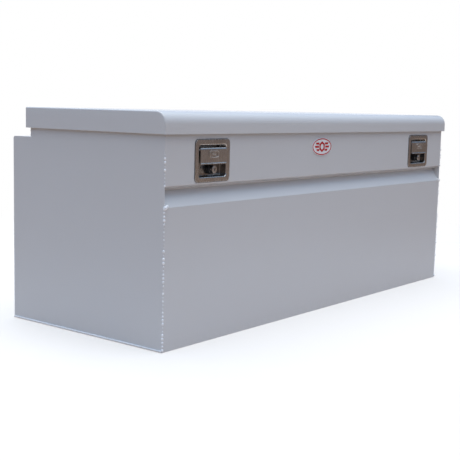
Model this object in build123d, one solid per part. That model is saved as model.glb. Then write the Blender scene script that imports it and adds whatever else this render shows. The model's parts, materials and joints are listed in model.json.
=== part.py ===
from build123d import *
import math
import os

# Truck tool box: a welded sheet-steel chest with an overhanging lid on a rear piano hinge.
# Millimetres. +X runs along the chest, the front faces -Y, +Z is up.
# The origin is the centre of the footprint, on the surface the chest stands on.

# ---- chest body ----
body_length = 1524.0
body_depth = 584.2
overall_height = 609.6
sheet = 1.5
bend_radius = 2.5
shelf_depth = 76.2
shelf_drop = 82.6
shelf_corner_radius = 6.0
rim_drop = 15.6
rim_flange = 22.0
band_bottom_drop = 186.6
groove_back_drop = 197.1
groove_bottom_drop = 240.1
groove_depth = 28.0
floor_flange = 25.0
floor_edge_lip = 2.0
mount_hole_radius = 5.5
mount_spacing_x = 1320.0
mount_spacing_y = 420.0
gusset_leg = 60.0
gusset_thickness = 3.0

# ---- lid ----
lid_end_overhang = 9.5
lid_front_overhang = 9.0
skirt_height = 57.2
lid_roll_radius = 32.0
lid_rear_radius = 2.5
hem = 4.0
rib_width = 44.0
rib_flange = 14.0
rib_height = 17.0
rib_spacing = 380.0
rib_count = 3
rib_end_gap = 12.0
rib_swing_gap = 2.0
seal_width = 9.0
seal_gap = 1.5
seal_inset = 12.0

# ---- piano hinge ----
axis_above_skirt = 3.0
knuckle_wall_gap = 0.6
knuckle_lid_gap = 1.1
knuckle_radius = 4.4
knuckle_pitch = 50.0
knuckle_gap = 0.5
leaf = 1.2
leaf_height = 26.0
leaf_knuckle_gap = 1.6
hinge_end_gap = 22.0
pin_radius = 1.6
pin_clearance = 0.08
hinge_rivet_radius = 2.4
hinge_rivet_count = 10

# ---- paddle latches ----
latch_end_inset = 113.5
plate_width = 141.0
plate_height = 111.0
plate_corner = 11.5
plate_drop = 71.1
plate_margin_side = 15.0
plate_margin_top = 15.0
plate_margin_bottom = 13.0
plate_sheet = 1.5
gasket = 1.0
gasket_margin = 1.0
pan_depth = 22.0
pan_corner = 7.0
pan_rim_radius = 3.0
pan_hole_radius = 2.0
pan_hole_left = 24.5
pan_hole_below_top = 74.0
cutout_clearance = 1.0
stud_radius = 2.5
stud_clearance = 0.25
stud_length = 11.0
stud_inset = 7.5
nut_across_flats = 8.0
nut_height = 4.0
paddle_side_gap = 3.0
paddle_top_gap = 6.0
paddle_height = 44.0
paddle_proud = 2.5
paddle_sheet = 2.0
roll_spring_gap = 0.35
roll_overlap = 0.5
paddle_lip = 4.5
paddle_skirt = 8.0
paddle_ear = 24.0
spring_length = 12.0
spring_side_gap = 2.0
paddle_pin_radius = 2.0
arm_half = 3.0
arm_length = 28.0
arm_drop = 4.0
arm_tip_radius = 3.0
arm_root_above = 3.5
arm_root_below = 4.5
mechanism_gap = 0.5
spring_wire = 0.5
spring_clearance = 0.15
hook_pivot_back = 66.0
hook_pin_radius = 3.0
hook_half = 3.0
hook_arm_height = 8.0
hook_boss = 8.0
hook_stem = 8.0
hook_nose = 7.5
hook_nose_height = 8.0
hook_nose_land = 2.0
hook_shoulder = 12.0
hook_stem_root = 8.0
hook_tip_gap = 1.0
cheek_cam_gap = 1.5
cheek_sheet = 2.0
cheek_reach = 9.0
bracket_height = 44.0
bracket_foot = 14.0
cheek_below = 10.0
cheek_above = 14.0
lock_offset = 8.5
lock_below_top = 69.5
lock_radius = 10.0
lock_recess = 1.0
collar_wall = 3.0
collar_recess = 11.0
plug_radius = 7.0
plug_proud = 0.6
lock_length = 39.0
keyhole_length = 10.0
keyhole_width = 4.4
cam_thickness = 2.5
cam_width = 12.0
cam_hub_wall = 2.0
cam_gap = 0.4
running_clearance = 0.05
lock_nut_wall = 3.0
lock_nut_height = 5.0

# ---- strikers on the lid ----
striker_bar_radius = 4.0
striker_bar_back = 62.0
striker_bar_drop = 63.6
striker_half_width = 16.0
striker_plate_thickness = 3.0
striker_plate_width = 64.0
striker_plate_depth = 30.0

# ---- badge ----
badge_width = 107.0
badge_height = 54.0
badge_thickness = 2.0
badge_offset = -55.5
badge_drop = 100.1

# ---- gas struts ----
strut_end_inset = 54.0
lid_open_degrees = 75.0
lid_stud_forward = 150.0
lid_stud_above = 20.0
body_stud_forward = 80.0
body_stud_below = 188.0
tube_radius = 9.0
tube_wall = 1.5
rod_radius = 4.0
socket_radius = 9.0
socket_half = 8.0
stud_pin_radius = 4.0
strut_open_gap = 1.0
tube_start = 16.0
gland_length = 12.0
bracket_sheet = 3.0
bracket_pad = 46.0
rod_clear = 4.0
piston_length = 6.0
stud_shoulder = 2.0
stud_side_gap = 1.0
cup_depth = 9.0

# ---- places worked out from the sizes above ----
front_y = (lid_front_overhang - body_depth) / 2
rear_y = front_y + body_depth
upper_back_y = rear_y - shelf_depth
half_length = body_length / 2
rim_top = overall_height - rim_drop
shelf_top = overall_height - shelf_drop
band_bottom = overall_height - band_bottom_drop
groove_back_height = overall_height - groove_back_drop
groove_bottom = overall_height - groove_bottom_drop
plate_top = overall_height - plate_drop
striker_bar_height = overall_height - striker_bar_drop
badge_centre_height = overall_height - badge_drop
skirt_bottom = overall_height - skirt_height
lid_underside = overall_height - sheet
lid_half = half_length + lid_end_overhang
lid_front_y = front_y - lid_front_overhang
hinge_y = upper_back_y + knuckle_wall_gap + knuckle_radius
lid_rear_y = hinge_y + knuckle_radius + knuckle_lid_gap + sheet
leaf_start = knuckle_radius + leaf_knuckle_gap
hinge_z = skirt_bottom + axis_above_skirt
inside_half = half_length - sheet
latch_x = half_length - latch_end_inset - plate_width / 2
plate_bottom = plate_top - plate_height
opening_half = plate_width / 2 - plate_margin_side
opening_top = plate_top - plate_margin_top
opening_bottom = plate_bottom + plate_margin_bottom
rim_face_y = front_y - gasket - plate_sheet
pan_floor_y = rim_face_y + pan_depth
pan_back_y = pan_floor_y + plate_sheet
paddle_half = opening_half - paddle_side_gap
paddle_roll = paddle_pin_radius + spring_clearance + 2 * spring_wire + roll_spring_gap + paddle_sheet
paddle_pivot_y = rim_face_y - paddle_proud + paddle_roll
paddle_pivot_z = opening_top - paddle_top_gap - paddle_roll
arm_tip_y = paddle_pivot_y + arm_length
arm_tip_z = paddle_pivot_z - arm_drop
hook_arm_top = arm_tip_z - arm_tip_radius - mechanism_gap
hook_pivot_y = front_y + hook_pivot_back
hook_pivot_z = hook_arm_top - hook_arm_height / 2
striker_bar_y = front_y + striker_bar_back
cheek_half = lock_offset + cam_width / 2 + cheek_cam_gap
lock_z = plate_top - lock_below_top - lock_radius
collar_radius = lock_radius + collar_wall
lock_nut_flats = 2 * (lock_radius + lock_nut_wall)
lock_face_y = rim_face_y + lock_recess
collar_face_y = rim_face_y + collar_recess
lock_back_y = lock_face_y + lock_length
strut_x = half_length - strut_end_inset
strut_base_y = hinge_y - body_stud_forward
strut_base_z = hinge_z - body_stud_below
strut_top_y = hinge_y - lid_stud_forward
strut_top_z = hinge_z + lid_stud_above
strut_closed = math.hypot(strut_top_y - strut_base_y, strut_top_z - strut_base_z)
strut_angle = math.degrees(math.atan2(strut_top_z - strut_base_z, strut_top_y - strut_base_y))
sides = {"left": -1, "right": 1}


def open_stud():
    """Place of the lid's strut stud with the lid fully open, as (y, z)."""
    turn = math.radians(lid_open_degrees)
    y = -lid_stud_forward * math.cos(turn) + lid_stud_above * math.sin(turn)
    z = lid_stud_forward * math.sin(turn) + lid_stud_above * math.cos(turn)
    return hinge_y + y, hinge_z + z


open_y, open_z = open_stud()
strut_open = math.hypot(open_y - strut_base_y, open_z - strut_base_z)
strut_open_angle = math.degrees(math.atan2(open_z - strut_base_z, open_y - strut_base_y))
strut_stroke = strut_open - strut_closed

parts = {}


def block(x0, x1, y0, y1, z0, z1):
    """A box between two corners."""
    solid = Box(x1 - x0, y1 - y0, z1 - z0)
    return Pos((x0 + x1) / 2, (y0 + y1) / 2, (z0 + z1) / 2) * solid


def rod_x(radius, x0, x1, y, z):
    """A round bar along X."""
    return Pos((x0 + x1) / 2, y, z) * Rot(0, 90, 0) * Cylinder(radius, x1 - x0)


def rod_y(radius, y0, y1, x, z):
    """A round bar along Y."""
    return Pos(x, (y0 + y1) / 2, z) * Rot(90, 0, 0) * Cylinder(radius, y1 - y0)


def hex_y(across_flats, y0, y1, x, z):
    """A hexagonal bar along Y."""
    shape = RegularPolygon(across_flats / 2, 6, major_radius=False)
    return Pos(x, y1, z) * Rot(90, 0, 0) * extrude(shape, y1 - y0)


def extrude_x(face, x0, x1):
    """Extrude a face drawn as (Y, Z) from x0 to x1."""
    placed = Plane.YZ.offset(x0) * face
    return extrude(placed, amount=x1 - x0, dir=(1, 0, 0))


def offset_points(points, distance):
    """Move an open outline sideways by a distance, to its left when positive."""
    moved = []
    for index, point in enumerate(points):
        before = Vector(*points[max(index - 1, 0)])
        here = Vector(*point)
        after = Vector(*points[min(index + 1, len(points) - 1)])
        first = (here - before) if index > 0 else (after - here)
        second = (after - here) if index < len(points) - 1 else first
        first = first.normalized()
        second = second.normalized()
        normal_a = Vector(-first.Y, first.X)
        normal_b = Vector(-second.Y, second.X)
        middle = normal_a + normal_b
        scale = 2 * distance / middle.dot(middle)
        moved.append((here.X + middle.X * scale, here.Y + middle.Y * scale))
    return moved


def bend_sides(points):
    """+1 for each corner that turns left, -1 for each that turns right."""
    turns = []
    for before, here, after in zip(points, points[1:], points[2:]):
        cross = (here[0] - before[0]) * (after[1] - here[1])
        cross -= (here[1] - before[1]) * (after[0] - here[0])
        turns.append(1 if cross > 0 else -1)
    return turns


def bent_sheet(points, thickness, radii, x0, x1):
    """A sheet folded along an outline in (Y, Z), thickened to the left of it and run along X."""
    inner = offset_points(points, thickness)
    turns = bend_sides(points)
    base_radii = [r + thickness if turn > 0 else r for r, turn in zip(radii, turns)]
    far_radii = [r if turn > 0 else r + thickness for r, turn in zip(radii, turns)]
    base = FilletPolyline(*points, radius=base_radii)
    far = FilletPolyline(*inner, radius=far_radii)
    ends = [Line(points[0], inner[0]), Line(points[-1], inner[-1])]
    outline = base.edges() + far.edges() + ends
    return extrude_x(make_face(outline), x0, x1)


def rounded_block(width, height, corner, y0, y1, x, z):
    """A plate in the XZ plane with rounded corners, between two Y places."""
    shape = RectangleRounded(width, height, corner)
    return Pos(x, y1, z) * Rot(90, 0, 0) * extrude(shape, y1 - y0)


def coil_x(radius, wire, turns, x0, x1, y, z):
    """A close coil of round wire about a pin along X."""
    length = x1 - x0
    path = Helix(pitch=length / turns, height=length, radius=radius)
    section = Plane(origin=path @ 0, z_dir=path % 0) * Circle(wire)
    return Pos(x0, y, z) * Rot(0, 90, 0) * sweep(section, path=path, is_frenet=True)


def add(name, *solids):
    """Keep a sub-part under its name."""
    parts[name] = solids[0] if len(solids) == 1 else Compound(children=list(solids))


# ---- chest body ----

def latch_places():
    """Side name and centre X of each latch."""
    return [(side, sign * latch_x) for side, sign in sides.items()]


def stud_places(x):
    """Places of the four fixing studs round a latch, as (x, z)."""
    middle = (plate_top + plate_bottom) / 2
    across = plate_width / 2 - stud_inset
    up = plate_height / 2 - stud_inset
    return [(x + i * across, middle + j * up) for i in (-1, 1) for j in (-1, 1)]


def front_panel():
    """Front wall: lower panel, V groove, upper band and the rim flange, folded from one sheet."""
    outline = [
        (front_y, sheet),
        (front_y, groove_bottom),
        (front_y + groove_depth, groove_back_height),
        (front_y, band_bottom),
        (front_y, rim_top),
        (front_y + rim_flange, rim_top),
    ]
    wall = bent_sheet(outline, -sheet, [bend_radius] * 4, -inside_half, inside_half)
    middle = (opening_top + opening_bottom) / 2
    width = 2 * (opening_half + plate_sheet + cutout_clearance)
    height = opening_top - opening_bottom + 2 * (plate_sheet + cutout_clearance)
    corner = pan_corner + plate_sheet + cutout_clearance
    for side, x in latch_places():
        wall -= rounded_block(width, height, corner, front_y - 5, front_y + 10, x, middle)
        for stud_x, stud_z in stud_places(x):
            wall -= rod_y(stud_radius + stud_clearance, front_y - 5, front_y + 10, stud_x, stud_z)
    return wall


def back_panel():
    """Back wall with its shelf step below the lid, and the rear rim flange."""
    outline = [
        (rear_y, sheet),
        (rear_y, shelf_top),
        (upper_back_y, shelf_top),
        (upper_back_y, rim_top),
        (upper_back_y - rim_flange, rim_top),
    ]
    radii = [shelf_corner_radius, bend_radius, bend_radius]
    wall = bent_sheet(outline, sheet, radii, -inside_half, inside_half)
    for x in rivet_places():
        wall -= rod_y(hinge_rivet_radius, upper_back_y - 10, upper_back_y + 5, x, rivet_z())
    return wall


def end_panel(sign):
    """End wall: a flat blank notched at the shelf, with a rim flange turned inwards."""
    corners = [
        (front_y, sheet),
        (rear_y, sheet),
        (rear_y, shelf_top),
        (upper_back_y, shelf_top),
        (upper_back_y, rim_top),
        (front_y, rim_top),
    ]
    blank = make_face(Polyline(*corners, close=True))
    outer_corner = blank.vertices().filter_by(
        lambda v: abs(v.X - rear_y) < 0.1 and abs(v.Y - shelf_top) < 0.1)
    blank = fillet(outer_corner, shelf_corner_radius + sheet)
    wall = extrude_x(blank, inside_half, half_length)
    gap = 1.0
    flange = block(half_length - rim_flange, inside_half, front_y + rim_flange + gap,
                   upper_back_y - rim_flange - gap, rim_top - sheet, rim_top)
    panel = wall + flange
    return panel if sign > 0 else mirror(panel, about=Plane.YZ)


def floor_pan():
    """Floor sheet with upturned front and rear flanges, edge lips and mounting holes."""
    reach = half_length + floor_edge_lip
    plate = block(-reach, reach, front_y, rear_y, 0, sheet)
    for y0 in (front_y + sheet, rear_y - 2 * sheet):
        plate += block(-inside_half, inside_half, y0, y0 + sheet, sheet, floor_flange)
    for i in (-1, 1):
        for j in (-1, 1):
            x = i * mount_spacing_x / 2
            y = (front_y + rear_y) / 2 + j * mount_spacing_y / 2
            plate -= Pos(x, y, 0) * Cylinder(mount_hole_radius, 4 * sheet)
    return plate


def rim_gussets():
    """Triangular plates welded under the rim flanges in the four corners."""
    top = rim_top - sheet
    plates = []
    for sign in (-1, 1):
        inset = sheet + bend_radius
        for y, step in ((front_y + inset, 1), (upper_back_y - inset, -1)):
            x = sign * inside_half
            corners = [(x, y), (x - sign * gusset_leg, y), (x, y + step * gusset_leg)]
            face = make_face(Polyline(*corners, close=True))
            plates.append(extrude(Pos(0, 0, top - gusset_thickness) * face,
                                  amount=gusset_thickness, dir=(0, 0, 1)))
    return plates


def rim_seal():
    """Bulb seal standing on the rim flanges all round the opening."""
    top = lid_underside - seal_gap
    height = top - rim_top
    length = body_length - 2 * seal_inset
    depth = upper_back_y - front_y - 2 * seal_inset
    middle = (upper_back_y + front_y) / 2
    outer = RectangleRounded(length, depth, seal_width + 6)
    inner = RectangleRounded(length - 2 * seal_width, depth - 2 * seal_width, 6)
    ring = extrude(Pos(0, middle, rim_top) * (outer - inner), amount=height, dir=(0, 0, 1))
    crown = ring.edges().filter_by(lambda e: e.center().Z > top - 0.01)
    return fillet(crown, seal_width * 0.4)


# ---- piano hinge ----

def rivet_places():
    """X places of the hinge rivets, even along the hinge."""
    reach = inside_half - hinge_end_gap - knuckle_pitch / 2
    step = 2 * reach / (hinge_rivet_count - 1)
    return [-reach + step * i for i in range(hinge_rivet_count)]


def rivet_z():
    """Height of the hinge rivets."""
    return hinge_z + (leaf_start + leaf_height) / 2


def knuckles():
    """Start and end X of each hinge knuckle, odd in number so both ends belong to the body."""
    length = 2 * (inside_half - hinge_end_gap)
    count = int(length / knuckle_pitch) // 2 * 2 + 1
    pitch = length / count
    half_gap = knuckle_gap / 2
    start = -length / 2
    return [(start + i * pitch + half_gap, start + (i + 1) * pitch - half_gap) for i in range(count)]


def hinge_leaf(face_y, step, own):
    """A hinge leaf against a face, with the knuckles whose turn it is. step points off the face."""
    spans = knuckles()
    y0, y1 = sorted((face_y, face_y + step * leaf))
    solid = block(spans[0][0], spans[-1][1], y0, y1, hinge_z + leaf_start, hinge_z + leaf_height)
    for x0, x1 in spans[own::2]:
        solid += block(x0, x1, y0, y1, hinge_z, hinge_z + leaf_start)
        web0, web1 = sorted((y0 if step > 0 else y1, hinge_y))
        solid += block(x0, x1, web0, web1, hinge_z - leaf / 2, hinge_z + leaf / 2)
        solid += rod_x(knuckle_radius, x0, x1, hinge_y, hinge_z)
    bore = pin_radius + pin_clearance
    solid -= rod_x(bore, spans[0][0] - 1, spans[-1][1] + 1, hinge_y, hinge_z)
    for x in rivet_places():
        solid -= rod_y(hinge_rivet_radius, face_y - 5, face_y + 5, x, rivet_z())
    return solid


def hinge_pin():
    """Hinge wire along the whole hinge."""
    spans = knuckles()
    return rod_x(pin_radius, spans[0][0], spans[-1][1], hinge_y, hinge_z)


def rivet_row(y0, y1):
    """Hinge rivets between two Y faces, with a low head outside each."""
    rivets = []
    head = hinge_rivet_radius * 1.8
    shank = hinge_rivet_radius - running_clearance
    for x in rivet_places():
        rivet = rod_y(shank, y0, y1, x, rivet_z())
        rivet += rod_y(head, y0 - 1, y0, x, rivet_z())
        rivet += rod_y(head, y1, y1 + 1, x, rivet_z())
        rivets.append(rivet)
    return rivets


# ---- lid ----

def lid_outline():
    """Outside line of the lid, rear skirt to front skirt, as (Y, Z)."""
    return [
        (lid_rear_y, skirt_bottom),
        (lid_rear_y, overall_height),
        (lid_front_y, overall_height),
        (lid_front_y, skirt_bottom),
    ]


def lid_shell():
    """Lid top with its rolled front edge, both skirts and a small front hem."""
    outline = lid_outline() + [(lid_front_y + hem, skirt_bottom)]
    radii = [lid_rear_radius, lid_roll_radius - sheet, sheet * 0.6]
    shell = bent_sheet(outline, sheet, radii, -lid_half + sheet, lid_half - sheet)
    for x in rivet_places():
        shell -= rod_y(hinge_rivet_radius, lid_rear_y - 5, lid_rear_y + 5, x, rivet_z())
    return shell


def lid_end(sign):
    """Flat cap closing one end of the lid, cut to the lid's outside line."""
    outline = lid_outline()
    radii = [lid_rear_radius + sheet, lid_roll_radius]
    line = FilletPolyline(*outline, radius=radii)
    face = make_face(line.edges() + [Line(outline[-1], outline[0])])
    cap = extrude_x(face, lid_half - sheet, lid_half)
    return cap if sign > 0 else mirror(cap, about=Plane.YZ)


def rib_rear_y():
    """Rear end of the ribs, so that their lower corner swings clear over the rear seal."""
    seal_y = upper_back_y - seal_inset - seal_width
    seal_reach = math.hypot(hinge_y - seal_y, lid_underside - seal_gap - hinge_z)
    drop = lid_underside - rib_height - hinge_z
    return hinge_y - math.sqrt((seal_reach + rib_swing_gap) ** 2 - drop ** 2)


def lid_rib(x):
    """Top-hat stiffener under the lid, front to back."""
    half = rib_width / 2
    outline = [
        (x - half - rib_flange, lid_underside - sheet),
        (x - half, lid_underside - sheet),
        (x - half, lid_underside - rib_height),
        (x + half, lid_underside - rib_height),
        (x + half, lid_underside - sheet),
        (x + half + rib_flange, lid_underside - sheet),
    ]
    inner = offset_points(outline, sheet)
    face = make_face(Polyline(*outline, *reversed(inner), close=True))
    y0 = front_y + rim_flange + rib_end_gap
    y1 = rib_rear_y()
    placed = Plane.XZ.offset(-y0) * face
    return extrude(placed, amount=y1 - y0, dir=(0, 1, 0))


def striker(x):
    """U-shaped striker hanging from the lid behind the front rim."""
    top = lid_underside - striker_plate_thickness
    points = [
        (x - striker_half_width, striker_bar_y, top),
        (x - striker_half_width, striker_bar_y, striker_bar_height),
        (x + striker_half_width, striker_bar_y, striker_bar_height),
        (x + striker_half_width, striker_bar_y, top),
    ]
    path = FilletPolyline(*points, radius=striker_bar_radius * 2)
    section = Plane(origin=points[0], z_dir=(0, 0, -1)) * Circle(striker_bar_radius)
    return sweep(section, path=path)


def striker_plate(x):
    """Backing plate of a striker, welded under the lid."""
    half = striker_plate_width / 2
    return block(x - half, x + half, striker_bar_y - striker_plate_depth / 2,
                 striker_bar_y + striker_plate_depth / 2,
                 lid_underside - striker_plate_thickness, lid_underside)


# ---- paddle latch ----

def latch_gasket(x):
    """Foam gasket between the latch plate and the front wall."""
    middle = (plate_top + plate_bottom) / 2
    opening_middle = (opening_top + opening_bottom) / 2
    width = 2 * (opening_half + plate_sheet + cutout_clearance)
    height = opening_top - opening_bottom + 2 * (plate_sheet + cutout_clearance)
    corner = pan_corner + plate_sheet + cutout_clearance
    pad = rounded_block(plate_width + 2 * gasket_margin, plate_height + 2 * gasket_margin,
                        plate_corner + gasket_margin, front_y - gasket, front_y, x, middle)
    pad -= rounded_block(width, height, corner, front_y - 5, front_y + 5, x, opening_middle)
    for stud_x, stud_z in stud_places(x):
        pad -= rod_y(stud_radius + stud_clearance, front_y - 5, front_y + 5, stud_x, stud_z)
    return pad


def latch_pan(x):
    """Pressed plate with a deep recess, pierced for the paddle's arm, its pin and the lock."""
    middle = (plate_top + plate_bottom) / 2
    opening_middle = (opening_top + opening_bottom) / 2
    width = 2 * opening_half
    height = opening_top - opening_bottom
    back = front_y - gasket
    pan = rounded_block(plate_width, plate_height, plate_corner, rim_face_y, back, x, middle)
    pan = fillet(pan.faces().sort_by(Axis.Y)[0].edges(), plate_sheet * 0.6)
    pan += rounded_block(width + 2 * plate_sheet, height + 2 * plate_sheet, pan_corner + plate_sheet,
                         rim_face_y + plate_sheet / 2, pan_back_y, x, opening_middle)
    hollow = rounded_block(width, height, pan_corner, rim_face_y - 1, pan_floor_y, x, opening_middle)
    hollow = fillet(hollow.faces().sort_by(Axis.Y)[-1].edges(), plate_sheet * 2)
    pan -= hollow
    rim = pan.faces().sort_by(Axis.Y)[0].inner_wires()[0].edges()
    pan = fillet(rim, pan_rim_radius)
    pan -= arm_slot(x)
    pan -= rod_y(lock_radius + running_clearance, pan_floor_y - 1, pan_back_y + 1, x + lock_offset, lock_z)
    hole_z = plate_top - pan_hole_below_top
    pan -= rod_y(pan_hole_radius, pan_floor_y - 1, pan_back_y + 1, x - pan_hole_left, hole_z)
    reach = opening_half + plate_sheet + 1
    pan -= rod_x(paddle_pin_radius + running_clearance, x - reach, x + reach,
                 paddle_pivot_y, paddle_pivot_z)
    return pan


def arm_slot(x):
    """Opening that the paddle's arm swings in."""
    half = arm_half + 2
    return block(x - half, x + half, pan_floor_y - 3, pan_back_y + cheek_sheet + 1,
                 arm_tip_z - 20, arm_tip_z + 8)


def latch_studs(x):
    """Welded studs of the latch plate."""
    y0 = front_y - gasket
    return [rod_y(stud_radius, y0, y0 + stud_length, sx, sz) for sx, sz in stud_places(x)]


def latch_nuts(x):
    """Nuts that clamp the latch plate from inside."""
    y0 = front_y + sheet
    nuts = []
    for sx, sz in stud_places(x):
        nut = hex_y(nut_across_flats, y0, y0 + nut_height, sx, sz)
        nuts.append(nut - rod_y(stud_radius, y0 - 1, y0 + nut_height + 1, sx, sz))
    return nuts


def latch_bracket(x):
    """Channel welded to the pan's back, whose two cheeks carry the hook."""
    bottom = hook_pivot_z - bracket_foot
    top = hook_pivot_z + bracket_height / 2
    outer = cheek_half + cheek_sheet
    back = hook_pivot_y + cheek_reach
    channel = block(x - outer, x + outer, pan_back_y, pan_back_y + cheek_sheet, bottom, top)
    for sign in (-1, 1):
        x0, x1 = sorted((x + sign * cheek_half, x + sign * outer))
        cheek = block(x0, x1, pan_back_y, back, hook_pivot_z - cheek_below, hook_pivot_z + cheek_above)
        channel += cheek
    channel -= arm_slot(x)
    channel -= rod_x(hook_pin_radius + running_clearance, x - outer - 1, x + outer + 1,
                     hook_pivot_y, hook_pivot_z)
    return channel


def paddle(x):
    """Paddle: a plate rolled over its pin at the top and flared into a finger lip below, with its arm."""
    face_y = rim_face_y - paddle_proud
    bottom_z = paddle_pivot_z + paddle_roll - paddle_height
    lip_z = bottom_z + paddle_lip
    lip_y = face_y + paddle_sheet - paddle_lip
    x0 = x - paddle_half
    x1 = x + paddle_half
    roll = rod_x(paddle_roll, x0, x1, paddle_pivot_y, paddle_pivot_z)
    roll -= rod_x(paddle_roll - paddle_sheet, x0 - 1, x1 + 1, paddle_pivot_y, paddle_pivot_z)
    under = block(x0 - 1, x1 + 1, face_y + paddle_sheet, paddle_pivot_y + paddle_roll + 1,
                  paddle_pivot_z - paddle_roll - 1, paddle_pivot_z)
    roll -= under
    plate = block(x0, x1, face_y, face_y + paddle_sheet, lip_z, paddle_pivot_z)
    curl = rod_x(paddle_lip, x0, x1, lip_y, lip_z)
    curl -= rod_x(paddle_lip - paddle_sheet, x0 - 1, x1 + 1, lip_y, lip_z)
    front = lip_y - paddle_lip - 1
    curl -= block(x0 - 1, x1 + 1, front, face_y + paddle_sheet + 1, lip_z, lip_z + paddle_lip + 1)
    curl -= block(x0 - 1, x1 + 1, front, lip_y, lip_z - paddle_lip - 1, lip_z + 1)
    solid = roll + plate + curl
    for sign in (-1, 1):
        a0, a1 = sorted((x + sign * paddle_half, x + sign * (paddle_half - paddle_sheet)))
        solid += block(a0, a1, face_y, face_y + paddle_skirt, lip_z, paddle_pivot_z)
        b0, b1 = sorted((x + sign * paddle_half, x + sign * (paddle_half - paddle_ear)))
        solid += rod_x(paddle_roll - paddle_sheet + roll_overlap, b0, b1, paddle_pivot_y, paddle_pivot_z)
        solid += block(b0, b1, face_y + 0.5, paddle_pivot_y, paddle_pivot_z - 4, paddle_pivot_z)
    solid += paddle_arm(x)
    bore = paddle_pin_radius + running_clearance
    solid -= rod_x(bore, x0 - 1, x1 + 1, paddle_pivot_y, paddle_pivot_z)
    return solid


def paddle_arm(x):
    """Arm behind the paddle that presses on the hook."""
    hub = rod_x(paddle_roll - roll_overlap, x - arm_half, x + arm_half, paddle_pivot_y, paddle_pivot_z)
    tip = rod_x(arm_tip_radius, x - arm_half, x + arm_half, arm_tip_y, arm_tip_z)
    outline = [
        (paddle_pivot_y, paddle_pivot_z + arm_root_above),
        (arm_tip_y, arm_tip_z + arm_tip_radius),
        (arm_tip_y, arm_tip_z - arm_tip_radius),
        (paddle_pivot_y, paddle_pivot_z - arm_root_below),
    ]
    web = extrude_x(make_face(Polyline(*outline, close=True)), x - arm_half, x + arm_half)
    return hub + tip + web


def paddle_pin(x):
    """Pin that the paddle turns on, held in the pan's side walls."""
    reach = opening_half + plate_sheet
    return rod_x(paddle_pin_radius, x - reach, x + reach, paddle_pivot_y, paddle_pivot_z)


def paddle_spring(x):
    """Two coils on the paddle's pin, one each side of the arm."""
    radius = paddle_pin_radius + spring_clearance + spring_wire
    start = arm_half + spring_side_gap
    coils = []
    for sign in (-1, 1):
        x0, x1 = sorted((x + sign * start, x + sign * (start + spring_length)))
        coils.append(coil_x(radius, spring_wire, 9, x0, x1, paddle_pivot_y, paddle_pivot_z))
    return coils


def latch_hook(x):
    """Hook that holds the striker: a lever under the paddle's arm and a nose at the top."""
    x0 = x - hook_half
    x1 = x + hook_half
    boss = rod_x(hook_boss, x0, x1, hook_pivot_y, hook_pivot_z)
    lever_tip = arm_tip_y - arm_tip_radius - hook_tip_gap
    lever = block(x0, x1, lever_tip, hook_pivot_y, hook_arm_top - hook_arm_height, hook_arm_top)
    nose_tip = striker_bar_y - striker_bar_radius - mechanism_gap
    stem_front = nose_tip - hook_nose - hook_stem
    nose_bottom = striker_bar_height + striker_bar_radius + mechanism_gap
    nose_top = nose_bottom + hook_nose_height
    outline = [
        (stem_front + 6, hook_arm_top - 2),
        (hook_pivot_y + 4, hook_pivot_z),
        (hook_pivot_y - 4, hook_pivot_z + hook_boss),
        (nose_tip - hook_nose, hook_arm_top + hook_shoulder),
        (nose_tip - hook_nose, nose_bottom),
        (nose_tip, nose_bottom),
        (nose_tip, nose_bottom + hook_nose_land),
        (nose_tip - hook_nose, nose_top),
        (stem_front, nose_top - 3),
        (stem_front, hook_arm_top + hook_stem_root),
    ]
    stem = extrude_x(make_face(Polyline(*outline, close=True)), x0, x1)
    hook = boss + lever + stem
    return hook - rod_x(hook_pin_radius + running_clearance, x0 - 1, x1 + 1, hook_pivot_y, hook_pivot_z)


def hook_pin(x):
    """Headed pin through the bracket's cheeks."""
    outer = cheek_half + cheek_sheet + 0.3
    pin = rod_x(hook_pin_radius, x - outer, x + outer, hook_pivot_y, hook_pivot_z)
    for sign in (-1, 1):
        x0, x1 = sorted((x + sign * outer, x + sign * (outer + 2)))
        pin += rod_x(hook_pin_radius + 2, x0, x1, hook_pivot_y, hook_pivot_z)
    return pin


def hook_spring(x):
    """Torsion coil on the hook's pin."""
    radius = hook_pin_radius + spring_clearance + 1.6 * spring_wire
    return coil_x(radius, 1.4 * spring_wire, 4, x + hook_half + 1.2, x + cheek_half - 1.2,
                  hook_pivot_y, hook_pivot_z)


def lock_housing(x):
    """Steel barrel of the lock, through the pan's floor."""
    cx = x + lock_offset
    barrel = rod_y(lock_radius, lock_face_y, lock_back_y, cx, lock_z)
    barrel = fillet(barrel.faces().sort_by(Axis.Y)[0].edges(), 0.8)
    return barrel - rod_y(plug_radius + running_clearance, lock_face_y - 1, lock_back_y + 1, cx, lock_z)


def lock_collar(x):
    """Black collar between the lock's head and the pan's floor."""
    cx = x + lock_offset
    ring = rod_y(collar_radius, collar_face_y, pan_floor_y, cx, lock_z)
    ring = fillet(ring.faces().sort_by(Axis.Y)[0].edges(), 1.0)
    return ring - rod_y(lock_radius + running_clearance, collar_face_y - 1, pan_floor_y + 1, cx, lock_z)


def lock_nut(x):
    """Nut that clamps the lock from behind the pan."""
    cx = x + lock_offset
    nut = hex_y(lock_nut_flats, pan_back_y, pan_back_y + lock_nut_height, cx, lock_z)
    return nut - rod_y(lock_radius + running_clearance, pan_back_y - 1, lock_back_y, cx, lock_z)


def lock_plug(x):
    """Turning plug of the lock, with an upright oval keyhole."""
    cx = x + lock_offset
    front = lock_face_y - plug_proud
    plug = rod_y(plug_radius, front, lock_back_y + cam_gap, cx, lock_z)
    plug = fillet(plug.faces().sort_by(Axis.Y)[0].edges(), 0.4)
    slot = SlotOverall(keyhole_length, keyhole_width, rotation=90)
    plug -= Pos(cx, front + 4, lock_z) * Rot(90, 0, 0) * extrude(slot, 8)
    return plug


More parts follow.
